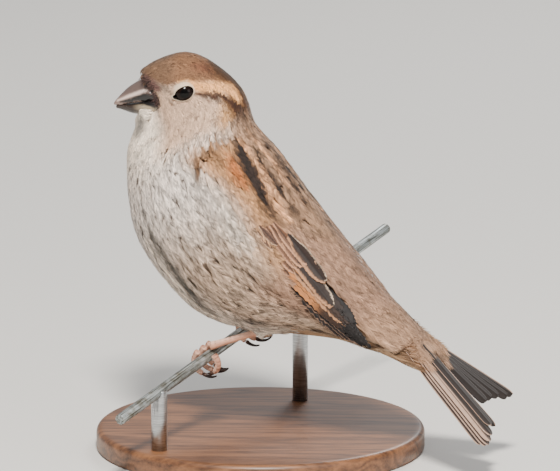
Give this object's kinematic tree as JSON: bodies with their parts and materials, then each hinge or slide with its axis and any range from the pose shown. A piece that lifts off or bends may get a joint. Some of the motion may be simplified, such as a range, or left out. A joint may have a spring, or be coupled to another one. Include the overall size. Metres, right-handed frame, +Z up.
{
  "type": "house sparrow model",
  "caption": "Life-size still model of a female house sparrow gripping a cut length of wire, held over a round base by short rods.",
  "frame": {"origin": "middle of the stand base's flat underside", "axes": "+Z up; the bird faces -X, turned 28 degrees towards +Y, with its head in profile and its left side towards -Y"},
  "size_m": [0.1165, 0.1131, 0.1116],
  "materials": {
    "plumage_head": "soft short feathers, grey-brown crown and pale buff brow",
    "plumage_body": "soft feathers, streaked brown above and plain pale grey-buff below",
    "plumage_wing": "flight feathers, dark brown with buff fringes",
    "plumage_tail": "tail feathers, grey-brown with thin pale edges",
    "bill": "satin horn, dark above and paler at the base below",
    "eye": "wet gloss, nearly black brown",
    "leg": "satin flesh-pink scales",
    "claw": "dark horn",
    "wire": "weathered zinc coat",
    "stand_metal": "fine brushed",
    "stand_wood": "satin oiled wood"
  },
  "bodies": {
    "root": {"head": "plumage_head", "neck": "plumage_body", "trunk": "plumage_body", "rump": "plumage_body", "upper_mandible": "bill", "lower_mandible": "bill", "eye_left": "eye", "eye_right": "eye", "wing_left": "plumage_wing", "wing_right": "plumage_wing", "flight_left": "plumage_wing", "flight_right": "plumage_wing", "tail_left": "plumage_tail", "tail_right": "plumage_tail", "thigh_left": "plumage_body", "thigh_right": "plumage_body", "tarsus_left": "leg", "tarsus_right": "leg", "toe_inner_left": "leg", "toe_middle_left": "leg", "toe_outer_left": "leg", "toe_hind_left": "leg", "toe_inner_right": "leg", "toe_middle_right": "leg", "toe_outer_right": "leg", "toe_hind_right": "leg", "claw_inner_left": "claw", "claw_middle_left": "claw", "claw_outer_left": "claw", "claw_hind_left": "claw", "claw_inner_right": "claw", "claw_middle_right": "claw", "claw_outer_right": "claw", "claw_hind_right": "claw", "perch_wire": "wire", "stand_base": "stand_wood", "stand_rod_1": "stand_metal", "stand_rod_2": "stand_metal"}
  },
  "joints": []
}
